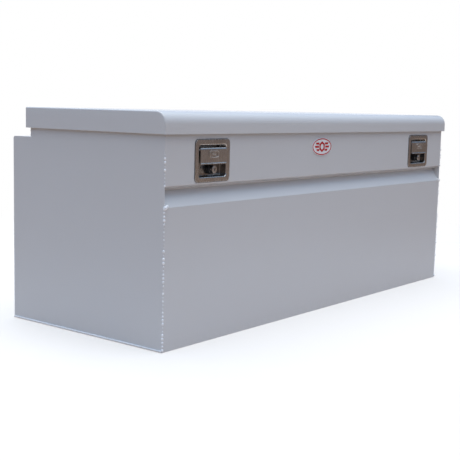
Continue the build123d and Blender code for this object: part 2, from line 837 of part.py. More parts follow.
def cam_length():
    """Reach of the cam, so that it stops just under the hook's lever when it is turned up."""
    return hook_arm_top - hook_arm_height - mechanism_gap - lock_z


def lock_cam(x):
    """Cam on the plug's back. It lies flat when unlocked and stands under the hook's lever when locked."""
    cx = x + lock_offset
    y0 = lock_back_y + cam_gap
    hub = rod_y(cam_width / 2 + cam_hub_wall, y0, y0 + cam_thickness, cx, lock_z)
    tongue = block(cx - cam_length(), cx, y0, y0 + cam_thickness,
                   lock_z - cam_width / 2, lock_z + cam_width / 2)
    return hub + tongue


# ---- gas struts ----

def along_strut(distance):
    """Point on the strut's line at rest, as (y, z), at a distance from its lower pivot."""
    turn = math.radians(strut_angle)
    return strut_base_y + distance * math.cos(turn), strut_base_z + distance * math.sin(turn)


def strut_bar(radius, start, end, x):
    """A round bar on the strut's line."""
    y, z = along_strut((start + end) / 2)
    return Pos(x, y, z) * Rot(strut_angle - 90, 0, 0) * Cylinder(radius, end - start)


def strut_tube(x):
    """Pressure tube, closed at its lower end."""
    end = strut_closed - tube_start
    tube = strut_bar(tube_radius, tube_start, end, x)
    return tube - strut_bar(tube_radius - tube_wall, tube_start + tube_wall, end + 1, x)


def strut_lower_socket(x):
    """End fitting that turns on the body's stud, with a stem into the tube's end."""
    y, z = along_strut(0)
    socket = rod_x(socket_radius, x - socket_half, x + socket_half, y, z)
    socket += strut_bar(rod_radius + 1, 0, tube_start, x)
    bore = stud_pin_radius + running_clearance
    return socket - rod_x(bore, x - socket_half - 1, x + socket_half + 1, y, z)


def strut_gland(x):
    """Seal and guide in the mouth of the tube."""
    end = strut_closed - tube_start
    gland = strut_bar(tube_radius - tube_wall, end - gland_length, end, x)
    return gland - strut_bar(rod_radius + running_clearance, end - gland_length - 1, end + 1, x)


def strut_rod(x):
    """Piston rod with its piston inside the tube."""
    inner = tube_radius - tube_wall - running_clearance
    start = tube_start + tube_wall + rod_clear
    rod = strut_bar(rod_radius, start, strut_closed - socket_radius + 1, x)
    return rod + strut_bar(inner, start, start + piston_length, x)


def strut_upper_socket(x, sign):
    """End fitting at the rod's top: a cup whose mouth faces the stud on the lid's bracket."""
    y, z = along_strut(strut_closed)
    x0, x1 = x - socket_half, x + socket_half
    socket = rod_x(socket_radius, x0, x1, y, z)
    cup0, cup1 = sorted((x + sign * socket_half, x + sign * (socket_half - cup_depth)))
    socket -= rod_x(stud_pin_radius + 1, cup0, cup1, y, z)
    return socket - strut_bar(rod_radius, 0, strut_closed - socket_radius + 1, x)


def strut_body_bracket(x, sign):
    """Plate on the end wall with the stud that the strut's lower end turns on."""
    y, z = along_strut(0)
    x0, x1 = sorted((sign * inside_half, sign * (inside_half - bracket_sheet)))
    half = bracket_pad / 2
    plate = block(x0, x1, y - half, y + half, z - half, z + half)
    stud_end = x - sign * (socket_half + stud_side_gap)
    s0, s1 = sorted((sign * (inside_half - bracket_sheet), stud_end))
    plate += rod_x(stud_pin_radius, s0, s1, y, z)
    c0, c1 = sorted((stud_end, stud_end - sign * stud_shoulder))
    plate += rod_x(stud_pin_radius + stud_shoulder, c0, c1, y, z)
    w0, w1 = sorted((sign * (inside_half - bracket_sheet), x + sign * (socket_half + stud_side_gap)))
    return plate + rod_x(stud_pin_radius + stud_shoulder, w0, w1, y, z)


def strut_lid_bracket(x, sign):
    """Angle under the lid with a short stud facing the strut's upper end."""
    y, z = along_strut(strut_closed)
    inner = x + sign * (socket_half + 12)
    outer = inner + sign * bracket_sheet
    half = bracket_pad / 2
    x0, x1 = sorted((inner, outer))
    angle = block(x0, x1, y - half, y + half, z - 12, lid_underside)
    f0, f1 = sorted((outer, outer - sign * 30))
    angle += block(f0, f1, y - half, y + half, lid_underside - bracket_sheet, lid_underside)
    s0, s1 = sorted((inner, x + sign * (socket_half + strut_open_gap)))
    return angle + rod_x(stud_pin_radius, s0, s1, y, z)


def front_badge():
    """Oval badge plate."""
    shape = Ellipse(badge_width / 2, badge_height / 2)
    plate = Pos(badge_offset, front_y, badge_centre_height) * Rot(90, 0, 0) * extrude(shape, badge_thickness)
    return plate


def build_body():
    """Fixed sheet metal, seal and badge."""
    add("front_panel", front_panel())
    add("back_panel", back_panel())
    add("floor_pan", floor_pan())
    for side, sign in sides.items():
        add(side + "_end_panel", end_panel(sign))
    add("rim_gussets", *rim_gussets())
    add("rim_seal", rim_seal())
    add("front_badge", front_badge())


def build_hinge():
    """Piano hinge and its rivets."""
    skirt_inside = lid_rear_y - sheet
    add("hinge_body_leaf", hinge_leaf(upper_back_y, 1, 0))
    add("hinge_lid_leaf", hinge_leaf(skirt_inside, -1, 1))
    add("hinge_pin", hinge_pin())
    add("hinge_body_rivets", *rivet_row(upper_back_y - sheet, upper_back_y + leaf))
    add("hinge_lid_rivets", *rivet_row(skirt_inside - leaf, lid_rear_y))


def build_lid():
    """Lid sheet metal, stiffeners and strikers."""
    add("lid_shell", lid_shell())
    for side, sign in sides.items():
        add("lid_" + side + "_end", lid_end(sign))
    for index in range(rib_count):
        add("lid_rib_" + str(index + 1), lid_rib((index - (rib_count - 1) / 2) * rib_spacing))
    for side, x in latch_places():
        add("striker_" + side, striker(x))
    add("striker_plates", *[striker_plate(x) for side, x in latch_places()])


def build_latches():
    """Both paddle latches with their locks. Small fasteners of both latches share one sub-part."""
    for side, x in latch_places():
        add("latch_pan_" + side, latch_pan(x))
        add("latch_bracket_" + side, latch_bracket(x))
        add("paddle_" + side, paddle(x))
        add("latch_hook_" + side, latch_hook(x))
        add("lock_housing_" + side, lock_housing(x))
        add("lock_collar_" + side, lock_collar(x))
        add("lock_plug_" + side, lock_plug(x))
        add("lock_cam_" + side, lock_cam(x))
    pairs = {
        "latch_gaskets": lambda x: [latch_gasket(x)],
        "latch_studs": latch_studs,
        "latch_nuts": latch_nuts,
        "paddle_pins": lambda x: [paddle_pin(x)],
        "paddle_springs": paddle_spring,
        "hook_pins": lambda x: [hook_pin(x)],
        "hook_springs": lambda x: [hook_spring(x)],
        "lock_nuts": lambda x: [lock_nut(x)],
    }
    for name, make in pairs.items():
        add(name, *[solid for side, x in latch_places() for solid in make(x)])


def build_struts():
    """Both gas struts with their brackets."""
    for side, sign in sides.items():
        x = sign * strut_x
        add("strut_tube_" + side, strut_tube(x))
        add("strut_lower_socket_" + side, strut_lower_socket(x))
        add("strut_gland_" + side, strut_gland(x))
        add("strut_rod_" + side, strut_rod(x))
        add("strut_upper_socket_" + side, strut_upper_socket(x, sign))
        add("strut_body_bracket_" + side, strut_body_bracket(x, sign))
        add("strut_lid_bracket_" + side, strut_lid_bracket(x, sign))


build_body()
build_hinge()
build_lid()
build_latches()
build_struts()

os.makedirs("parts", exist_ok=True)
for name, shape in parts.items():
    shape.label = name
    export_step(shape, os.path.join("parts", name + ".step"))
print(len(parts), "sub-parts written")
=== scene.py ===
import bpy
import bmesh
import json
import math
from mathutils import Matrix, Vector


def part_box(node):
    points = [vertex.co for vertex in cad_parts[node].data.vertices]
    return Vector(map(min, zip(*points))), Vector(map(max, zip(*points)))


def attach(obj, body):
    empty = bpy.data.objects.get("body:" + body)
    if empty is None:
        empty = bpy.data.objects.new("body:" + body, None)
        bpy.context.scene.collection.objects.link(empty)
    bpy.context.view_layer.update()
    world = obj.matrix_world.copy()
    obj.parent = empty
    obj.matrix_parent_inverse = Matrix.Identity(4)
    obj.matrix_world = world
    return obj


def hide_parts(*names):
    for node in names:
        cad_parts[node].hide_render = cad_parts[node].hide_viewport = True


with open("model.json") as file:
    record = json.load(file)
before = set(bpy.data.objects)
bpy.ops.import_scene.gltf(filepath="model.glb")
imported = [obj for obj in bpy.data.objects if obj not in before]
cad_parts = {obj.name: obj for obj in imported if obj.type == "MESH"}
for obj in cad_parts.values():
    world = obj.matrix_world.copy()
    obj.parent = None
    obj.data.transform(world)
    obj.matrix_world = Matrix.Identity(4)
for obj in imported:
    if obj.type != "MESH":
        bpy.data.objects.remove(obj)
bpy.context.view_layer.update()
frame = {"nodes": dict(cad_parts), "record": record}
print("frame loaded")

scene = bpy.context.scene


def addMesh(name, points, faces, material=None, edges=()):
    mesh = bpy.data.meshes.new(name)
    mesh.from_pydata([tuple(p) for p in points], list(edges), faces)
    mesh.update()
    piece = bpy.data.objects.new(name, mesh)
    scene.collection.objects.link(piece)
    if material:
        mesh.materials.append(material)
    return piece


def freeze(piece):
    # evaluates every modifier and keeps the result as a plain mesh
    depsgraph = bpy.context.evaluated_depsgraph_get()
    made = bpy.data.meshes.new_from_object(piece.evaluated_get(depsgraph))
    piece.modifiers.clear()
    old = piece.data
    piece.data = made
    bpy.data.meshes.remove(old)
    return piece


def shadeByAngle(piece, degrees=35):
    limit = math.radians(degrees)
    bm = bmesh.new()
    bm.from_mesh(piece.data)
    for face in bm.faces:
        face.smooth = True
    for edge in bm.edges:
        sharp = len(edge.link_faces) != 2 or edge.calc_face_angle(0) > limit
        edge.smooth = not sharp
    bm.to_mesh(piece.data)
    bm.free()
    return piece


def outwardFaces(piece):
    bm = bmesh.new()
    bm.from_mesh(piece.data)
    bmesh.ops.remove_doubles(bm, verts=bm.verts, dist=1e-6)
    bmesh.ops.recalc_face_normals(bm, faces=bm.faces)
    bm.to_mesh(piece.data)
    bm.free()
    return piece


def paintNode(node, material):
    target = frame["nodes"][node]
    if not target.material_slots:
        target.data.materials.append(material)
    for slot in target.material_slots:
        slot.material = material


def newMaterial(name):
    material = bpy.data.materials.new(name)
    material.use_nodes = True
    tree = material.node_tree
    tree.nodes.clear()
    output = tree.nodes.new("ShaderNodeOutputMaterial")
    shader = tree.nodes.new("ShaderNodeBsdfPrincipled")
    tree.links.new(shader.outputs[0], output.inputs[0])
    place = tree.nodes.new("ShaderNodeTexCoord")
    return material, tree, shader, place.outputs["Object"]


def noise(tree, place, scale, detail=2.0, rough=0.5, stretch=None):
    if stretch:
        mapping = tree.nodes.new("ShaderNodeMapping")
        mapping.inputs["Scale"].default_value = stretch
        tree.links.new(place, mapping.inputs["Vector"])
        place = mapping.outputs["Vector"]
    node = tree.nodes.new("ShaderNodeTexNoise")
    node.inputs["Scale"].default_value = scale
    node.inputs["Detail"].default_value = detail
    node.inputs["Roughness"].default_value = rough
    tree.links.new(place, node.inputs["Vector"])
    return node.outputs["Fac"]


def spread(tree, value, low, high, fromLow=0.3, fromHigh=0.7):
    node = tree.nodes.new("ShaderNodeMapRange")
    node.inputs["From Min"].default_value = fromLow
    node.inputs["From Max"].default_value = fromHigh
    node.inputs["To Min"].default_value = low
    node.inputs["To Max"].default_value = high
    tree.links.new(value, node.inputs["Value"])
    return node.outputs["Result"]


def mixColour(tree, factor, first, second):
    node = tree.nodes.new("ShaderNodeMix")
    node.data_type = "RGBA"
    for socket, colour in ((node.inputs[6], first), (node.inputs[7], second)):
        if isinstance(colour, tuple):
            socket.default_value = (*colour, 1.0)
        else:
            tree.links.new(colour, socket)
    if isinstance(factor, float):
        node.inputs[0].default_value = factor
    else:
        tree.links.new(factor, node.inputs[0])
    return node.outputs[2]


def bump(tree, height, distance, strength=1.0, under=None):
    node = tree.nodes.new("ShaderNodeBump")
    node.inputs["Distance"].default_value = distance
    node.inputs["Strength"].default_value = strength
    tree.links.new(height, node.inputs["Height"])
    if under:
        tree.links.new(under, node.inputs["Normal"])
    return node.outputs["Normal"]


def mathNode(tree, operation, first, second=None):
    node = tree.nodes.new("ShaderNodeMath")
    node.operation = operation
    for socket, value in zip(node.inputs, (first, second)):
        if value is None:
            continue
        if isinstance(value, (int, float)):
            socket.default_value = value
        else:
            tree.links.new(value, socket)
    return node.outputs[0]


def heightMask(tree, place, low, high):
    # 1 below the low height, 0 above the high one
    split = tree.nodes.new("ShaderNodeSeparateXYZ")
    tree.links.new(place, split.inputs[0])
    return spread(tree, split.outputs["Z"], 1.0, 0.0, low, high)


# each pattern is a noise scale, its detail and its roughness
paintLook = {
    "white": (0.606, 0.602, 0.604),
    "whiteWarm": (0.600, 0.594, 0.592),
    "shadePattern": (2.3, 3.0, 0.55),
    "roughness": (0.17, 0.22),
    "roughPattern": (9.0, 4.0, 0.6),
    "dust": (0.56, 0.51, 0.45),
    "dustPattern": (38.0, 5.0, 0.65),
    "dustEdges": (0.42, 0.72),
    "dustReach": 0.05,
    "dustAmount": 0.10,
    "dustRoughness": 0.4,
    "peelPattern": (520.0, 2.0, 0.5),
    "peelDepth": 0.00005,
    "wavyPattern": (2.1, 1.0, 0.4),
    "wavyDepth": 0.0016,
    "bumpStrength": 0.5,
}


def powderCoat(name):
    look = paintLook
    material, tree, shader, place = newMaterial(name)
    shade = noise(tree, place, *look["shadePattern"])
    colour = mixColour(tree, spread(tree, shade, 0.0, 1.0), look["white"], look["whiteWarm"])
    # road dust settles low on the walls and in small patches
    low = heightMask(tree, place, 0.0, look["dustReach"])
    patch = spread(tree, noise(tree, place, *look["dustPattern"]), 0.0, 1.0, *look["dustEdges"])
    dust = mathNode(tree, "MULTIPLY", low, patch)
    dust = mathNode(tree, "MULTIPLY", dust, look["dustAmount"])
    colour = mixColour(tree, dust, colour, look["dust"])
    tree.links.new(colour, shader.inputs["Base Color"])
    rough = spread(tree, noise(tree, place, *look["roughPattern"]), *look["roughness"])
    rough = mathNode(tree, "ADD", rough, mathNode(tree, "MULTIPLY", dust, look["dustRoughness"]))
    tree.links.new(rough, shader.inputs["Roughness"])
    strength = look["bumpStrength"]
    peel = bump(tree, noise(tree, place, *look["peelPattern"]), look["peelDepth"], strength)
    wavy = bump(tree, noise(tree, place, *look["wavyPattern"]), look["wavyDepth"], strength, peel)
    tree.links.new(wavy, shader.inputs["Normal"])
    return material


steelLook = {
    "steel": (0.66, 0.63, 0.60),
    "steelDark": (0.36, 0.33, 0.305),
    "roughness": (0.20, 0.34),
    "grainSize": 55.0,
    "grainPattern": (5.0, 0.7),
    "grainStrength": 0.6,
    "grainStretch": (6.0, 6.0, 0.3),
    "grainDepth": 0.00005,
    "recess": (-0.290, -0.279),  # from the plate's face to well inside the pan
    # painted shade inside the pans: how strong it is and its colour
    "recessShade": 0.42,
    "recessColour": (0.10, 0.095, 0.095),
}
metalBlotches = (28.0, 3.0, 0.5)
blotchShare = 0.35


def brushedSteel(name, look=steelLook, dark=0.5):
    material, tree, shader, place = newMaterial(name)
    grain = noise(tree, place, look["grainSize"], *look["grainPattern"], look["grainStretch"])
    blotch = noise(tree, place, *metalBlotches)
    tone = mathNode(tree, "MULTIPLY", spread(tree, grain, 0.0, 1.0), dark)
    tone = mathNode(tree, "ADD", tone, spread(tree, blotch, 0.0, blotchShare))
    colour = mixColour(tree, tone, look["steel"], look["steelDark"])
    if "recess" in look:
        # painted shade: the steel's colour is darkened further into the pans, where shade falls
        split = tree.nodes.new("ShaderNodeSeparateXYZ")
        tree.links.new(place, split.inputs[0])
        deep = spread(tree, split.outputs["Y"], 0.0, look["recessShade"], *look["recess"])
        colour = mixColour(tree, deep, colour, look["recessColour"])
    tree.links.new(colour, shader.inputs["Base Color"])
    tree.links.new(spread(tree, grain, *look["roughness"]), shader.inputs["Roughness"])
    shader.inputs["Metallic"].default_value = 1.0
    tree.links.new(bump(tree, grain, look["grainDepth"], look["grainStrength"]), shader.inputs["Normal"])
    return material


zincLook = {
    "steel": (0.62, 0.62, 0.64),
    "steelDark": (0.44, 0.44, 0.47),
    "roughness": (0.28, 0.46),
    "grainSize": 60.0,
    "grainPattern": (5.0, 0.7),
    "grainStrength": 0.6,
    "grainStretch": (1.0, 1.0, 1.0),
    "grainDepth": 0.00005,
}

chromeLook = {
    "steel": (0.78, 0.78, 0.79),
    "steelDark": (0.66, 0.66, 0.68),
    "roughness": (0.06, 0.16),
    "grainSize": 220.0,
    "grainPattern": (5.0, 0.7),
    "grainStrength": 0.6,
    "grainStretch": (1.0, 1.0, 0.4),
    "grainDepth": 0.00001,
}


blackLook = {
    "colour": (0.018, 0.018, 0.02),
    "roughness": (0.38, 0.55),
    "patches": (40.0, 3.0),
    "lighter": 1.9,
    "lift": 0.004,
    "grainSize": 700.0,
    "grainDetail": 2.0,
    "grainDepth": 0.00006,
    "grainStrength": 0.5,
}


def blackPlastic(name, look=blackLook):
    material, tree, shader, place = newMaterial(name)
    patch = noise(tree, place, *look["patches"])
    lighter = tuple(c * look["lighter"] + look["lift"] for c in look["colour"])
    colour = mixColour(tree, spread(tree, patch, 0.0, 1.0), look["colour"], lighter)
    tree.links.new(colour, shader.inputs["Base Color"])
    tree.links.new(spread(tree, patch, *look["roughness"]), shader.inputs["Roughness"])
    grain = noise(tree, place, look["grainSize"], look["grainDetail"])
    tree.links.new(bump(tree, grain, look["grainDepth"], look["grainStrength"]), shader.inputs["Normal"])
    return material


glossLook = {
    "roughness": (0.12, 0.22),
    "patches": (120.0, 4.0, 0.6),
    "duller": 0.9,
    "dullShare": 0.7,
    "peelDepth": 0.00003,
    "peelStrength": 0.4,
    "coat": 0.4,
    "coatRoughness": 0.08,
}


def glossPaint(name, colour, look=glossLook):
    material, tree, shader, place = newMaterial(name)
    patch = noise(tree, place, *look["patches"])
    duller = tuple(c * look["duller"] for c in colour)
    shade = mixColour(tree, spread(tree, patch, 0.0, look["dullShare"]), colour, duller)
    tree.links.new(shade, shader.inputs["Base Color"])
    tree.links.new(spread(tree, patch, *look["roughness"]), shader.inputs["Roughness"])
    tree.links.new(bump(tree, patch, look["peelDepth"], look["peelStrength"]), shader.inputs["Normal"])
    shader.inputs["Coat Weight"].default_value = look["coat"]
    shader.inputs["Coat Roughness"].default_value = look["coatRoughness"]
    return material


whitePaint = powderCoat("whitePowderCoat")
# painted highlight: weld drops are painted whiter than the body paint so they shine like glints; they are
# also glossier
weldHighlightPaint = glossPaint("weldPaintedHighlight", (0.88, 0.885, 0.90), {**glossLook, "roughness": (0.10, 0.16)})
latchSteel = brushedSteel("satinLatchSteel")
zincPlate = brushedSteel("brightZincPlate", zincLook, 0.4)
springSteel = brushedSteel("oiledSpringSteel", {**zincLook, "steel": (0.3, 0.3, 0.31)}, 0.6)
rodChrome = brushedSteel("hardChrome", chromeLook, 0.2)
# the raised paddle marks are drawn in a lighter steel than the paddle
lighterMarkLook = {**steelLook, "steel": (0.78, 0.76, 0.73), "steelDark": (0.62, 0.59, 0.56)}
markSteel = brushedSteel("lighterMarkSteel", lighterMarkLook, 0.3)
lockSteel = brushedSteel("satinLockSteel", {**steelLook, "grainStretch": (2.0, 2.0, 2.0)}, 0.4)
collarBlack = blackPlastic("collarBlack")
rubberLook = {**blackLook, "colour": (0.022, 0.022, 0.022), "roughness": (0.62, 0.8), "grainSize": 900.0}
sealRubber = blackPlastic("sealRubber", rubberLook)
tubeEnamel = glossPaint("tubeBlackEnamel", (0.012, 0.012, 0.013))
badgeWhite = glossPaint("badgeWhiteEnamel", (0.86, 0.86, 0.87))
badgeRed = glossPaint("badgeRedEnamel", (0.52, 0.02, 0.025))
print("materials made")

slotMaterials = {
    "white_paint": whitePaint,
    "seal_rubber": sealRubber,
    "badge_enamel": badgeWhite,
    "hinge_steel": whitePaint,
    "latch_steel": latchSteel,
    "zinc_plate": zincPlate,
    "spring_steel": springSteel,
    "lock_steel": lockSteel,
    "black_plastic": collarBlack,
    "strut_enamel": tubeEnamel,
    "strut_chrome": rodChrome,
}
slotOf = {part["node"]: part["material_slot"] for part in frame["record"]["subparts"]}
for node, slot in slotOf.items():
    paintNode(node, slotMaterials[slot])
bodyOf = {node: body for body, names in frame["record"]["behaviour"]["bodies"].items() for node in names}
print("frame painted")


lidSizes = {
    "rollRadius": 0.032,
    "rearRadius": 0.004,
    "sheet": 0.0015,
    "hem": 0.004,
    "endRounding": 0.0035,
    "skirtFoot": 0.008,
    "rollSteps": 20,
    "rearSteps": 8,
    "topSteps": 8,
    "endSteps": 8,
    "lengthSteps": 160,
    "sag": 0.0006,
    "sagWaves": (16.5, 3.1),
    "smoothAngle": 40,
}
lidLow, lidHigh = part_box("lid_left_end")
lidEndX = -lidLow.x


def cornerArc(centre, radius, startAngle, endAngle, steps):
    points = []
    for i in range(steps + 1):
        angle = math.radians(startAngle + (endAngle - startAngle) * i / steps)
        points.append((centre[0] + radius * math.cos(angle), centre[1] + radius * math.sin(angle)))
    return points


def lidOutline():
    # outside line of the lid from the rear skirt's foot to the front skirt's foot, as (y, z)
    rear, roll = lidSizes["rearRadius"], lidSizes["rollRadius"]
    topSteps = lidSizes["topSteps"]
    y0, y1, z0, z1 = lidLow.y, lidHigh.y, lidLow.z, lidHigh.z
    line = [(y1, z0), (y1, z0 + (z1 - z0) * 0.5)]
    line += cornerArc((y1 - rear, z1 - rear), rear, 0, 90, lidSizes["rearSteps"])
    for i in range(1, topSteps):
        line.append((y1 - rear + (y0 + roll - y1 + rear) * i / topSteps, z1))
    line += cornerArc((y0 + roll, z1 - roll), roll, 90, 180, lidSizes["rollSteps"])
    line += [(y0, z0 + lidSizes["skirtFoot"]), (y0, z0)]
    return line


def lineNormals(line):
    # inward normals of the outline
    normals = []
    for i in range(len(line)):
        before, after = line[max(i - 1, 0)], line[min(i + 1, len(line) - 1)]
        along = Vector((after[0] - before[0], after[1] - before[1])).normalized()
        normals.append(Vector((-along.y, along.x)))
    return normals


def sagAt(x, y):
    # a thin lid is never quite flat: it dips a little between its ribs
    across = (y - lidLow.y) / (lidHigh.y - lidLow.y)
    inside = max(0.0, math.sin(math.pi * min(max(across, 0), 1)))
    short, long = lidSizes["sagWaves"]
    wave = 0.5 + 0.5 * math.cos(x * short) * math.cos(x * long + 0.8)
    return lidSizes["sag"] * inside * wave


def lidSkin():
    line = lidOutline()
    line.append((line[-1][0] + lidSizes["hem"], line[-1][1]))
    steps = lidSizes["lengthSteps"]
    reach = lidEndX - lidSizes["endRounding"]
    points, faces = [], []
    for i in range(steps + 1):
        x = -reach + 2 * reach * i / steps
        for y, z in line:
            drop = sagAt(x, y) if z > lidHigh.z - 0.0002 else 0.0
            points.append((x, y, z - drop))
    count = len(line)
    for i in range(steps):
        for j in range(count - 1):
            a = i * count + j
            faces.append((a, a + 1, a + count + 1, a + count))
    return addMesh("lidSkin", points, faces, whitePaint)


def thicken(piece, thickness):
    modifier = piece.modifiers.new("wall", "SOLIDIFY")
    modifier.thickness = thickness
    modifier.offset = -1
    modifier.use_even_offset = True
    return freeze(piece)


def pointOut(piece, centre):
    # an open sheet: turn its faces so they look away from a point inside
    bm = bmesh.new()
    bm.from_mesh(piece.data)
    bmesh.ops.recalc_face_normals(bm, faces=bm.faces)
    bm.faces.ensure_lookup_table()
    score = sum((f.calc_center_median() - centre).dot(f.normal) * f.calc_area() for f in bm.faces)
    if score < 0:
        bmesh.ops.reverse_faces(bm, faces=bm.faces)
    bm.to_mesh(piece.data)
    bm.free()


def lidEnd(sign):
    # a cap whose edge is welded and ground round into the skin
    line = lidOutline()
    normals = lineNormals(line)
    radius = lidSizes["endRounding"]
    steps = lidSizes["endSteps"]
    points, faces = [], []
    for k in range(steps + 1):
        angle = math.pi / 2 * k / steps
        inset = radius * (1 - math.cos(angle))
        x = sign * (lidEndX - radius * (1 - math.sin(angle)))
        for (y, z), normal in zip(line, normals):
            points.append((x, y + normal.x * inset, z + normal.y * inset))
    count = len(line)
    for k in range(steps):
        for j in range(count - 1):
            a = k * count + j
            faces.append((a, a + 1, a + count + 1, a + count))
    faces.append(tuple(steps * count + j for j in range(count)))
    side = "Left" if sign < 0 else "Right"
    return addMesh("lidEnd" + side, points, faces, whitePaint)


centreOfLid = Vector((0, (lidLow.y + lidHigh.y) / 2, lidLow.z))
skin = lidSkin()
pointOut(skin, centreOfLid)
thicken(skin, lidSizes["sheet"])
shadeByAngle(skin, lidSizes["smoothAngle"])
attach(skin, "lid")
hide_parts("lid_shell")
for sign, node in ((-1, "lid_left_end"), (1, "lid_right_end")):
    cap = lidEnd(sign)
    pointOut(cap, centreOfLid)
    thicken(cap, lidSizes["sheet"])
    shadeByAngle(cap, lidSizes["smoothAngle"])
    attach(cap, "lid")
    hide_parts(node)
print("lid skin and ends made")


# how far each part's sharp edges are eased
softEdges = {
    "paddle_left": 0.0009,
    "paddle_right": 0.0009,
    "latch_pan_left": 0.0003,
    "latch_pan_right": 0.0003,
    "lock_cam_left": 0.0004,
    "lock_cam_right": 0.0004,
    "latch_hook_left": 0.0004,
    "latch_hook_right": 0.0004,
    "latch_bracket_left": 0.0003,
    "latch_bracket_right": 0.0003,
    "striker_plates": 0.0005,
    "front_badge": 0.0005,
    "left_end_panel": 0.0005,
    "right_end_panel": 0.0005,
    "front_panel": 0.0004,
    "back_panel": 0.0004,
    "lid_rib_1": 0.0004,
    "lid_rib_2": 0.0004,
    "lid_rib_3": 0.0004,
    "strut_body_bracket_left": 0.0005,
    "strut_body_bracket_right": 0.0005,
    "strut_lid_bracket_left": 0.0005,
    "strut_lid_bracket_right": 0.0005,
}
easing = {
    "mergeWithin": 2e-6,
    "flatAngle": 0.4,
    "sharpAngle": 50,
    "segments": 2,
    "smoothAngle": 40,
    "flatWeight": 100,
}


def soften(node, width):
    # a copy of the part whose sharp edges are eased, as a press or a file leaves them
    source = frame["nodes"][node]
    mesh = source.data.copy()
    mesh.transform(source.matrix_world)
    piece = bpy.data.objects.new("eased_" + node, mesh)
    scene.collection.objects.link(piece)
    bm = bmesh.new()
    bm.from_mesh(mesh)
    bmesh.ops.remove_doubles(bm, verts=bm.verts, dist=easing["mergeWithin"])
    flatAngle = math.radians(easing["flatAngle"])
    bmesh.ops.dissolve_limit(bm, angle_limit=flatAngle, verts=bm.verts, edges=bm.edges)
    bm.to_mesh(mesh)
    bm.free()
    modifier = piece.modifiers.new("ease", "BEVEL")
    modifier.width = width
    modifier.segments = easing["segments"]
    modifier.limit_method = "ANGLE"
    modifier.angle_limit = math.radians(easing["sharpAngle"])
    modifier.harden_normals = False
    freeze(piece)
    shadeByAngle(piece, easing["smoothAngle"])
    flatten = piece.modifiers.new("flatFaces", "WEIGHTED_NORMAL")
    flatten.weight = easing["flatWeight"]
    flatten.keep_sharp = True
    freeze(piece)
    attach(piece, bodyOf[node])
    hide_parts(node)


for node, width in softEdges.items():
    soften(node, width)
print("edges softened")


markSizes = {
    "width": 0.036,
    "height": 0.018,
    "corner": 0.006,
    "line": 0.0016,
    "proud": 0.0005,
    "sunk": 0.0004,
    "belowTop": 0.40,  # share of the paddle's height
    "arrowHalf": 0.0062,
    "arrowTop": 0.0035,
    "arrowDrop": 0.0065,
    "arcSteps": 6,
    "sideSteps": 4,
}


def paddleMark(side):
    # a plain raised frame round a downward arrow
    size = markSizes
    low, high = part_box("paddle_" + side)
    middle = (low.x + high.x) / 2
    centre = high.z - size["belowTop"] * (high.z - low.z)
    face = low.y

    def frameLine(inset):
        line = []
        halfW, halfH = size["width"] / 2 - inset, size["height"] / 2 - inset
        radius = max(size["corner"] - inset, 0.001)
        for sx, sz, start in ((1, 1, 0), (-1, 1, 90), (-1, -1, 180), (1, -1, 270)):
            cx, cz = middle + sx * (halfW - radius), centre + sz * (halfH - radius)
            for k in range(size["arcSteps"] + 1):
                angle = math.radians(start + 90 * k / size["arcSteps"])
                line.append((cx + radius * math.cos(angle), cz + radius * math.sin(angle)))
        return line

    def arrowLine(inset):
        # the corners move in further than the sides do
        half = size["arrowHalf"] - inset * 1.9
        top = centre + size["arrowTop"] - inset
        foot = top - (size["arrowDrop"] - inset * 2.2) - inset
        corners = [(middle + half, top), (middle - half, top), (middle, foot)]
        steps = size["sideSteps"]
        line = []
        for k, (x0, z0) in enumerate(corners):
            x1, z1 = corners[(k + 1) % 3]
            line += [(x0 + (x1 - x0) * t / steps, z0 + (z1 - z0) * t / steps) for t in range(steps)]
        return line

    for name, outer, inner in (("Frame", frameLine(0), frameLine(size["line"])),
                               ("Arrow", arrowLine(0), arrowLine(size["line"]))):
        ring = flatRing("paddleMark" + name + side.title(), outer, inner,
                        face - size["proud"], face + size["sunk"], markSteel, "paddle_" + side)


# size of one drop, distance between drops, how much they differ, and the seed
weldBeads = {
    "frontCornerWelds": {"Width": 0.0046, "Height": 0.0060, "Pitch": 0.0096, "Unevenness": 0.6, "Seed": 3},
    "rearCornerWelds": {"Width": 0.0026, "Height": 0.0040, "Pitch": 0.0030, "Unevenness": 0.25, "Seed": 11},
    "floorEdgeWelds": {"Width": 0.0056, "Height": 0.0052, "Pitch": 0.0028, "Unevenness": 0.15, "Seed": 5},
    "grooveEndWelds": {"Width": 0.0026, "Height": 0.0026, "Pitch": 0.0022, "Unevenness": 0.3, "Seed": 17},
    "grooveCornerBlobs": {"Width": 0.0104, "Height": 0.0096, "Pitch": 0.0036, "Unevenness": 0.35, "Seed": 23},
}


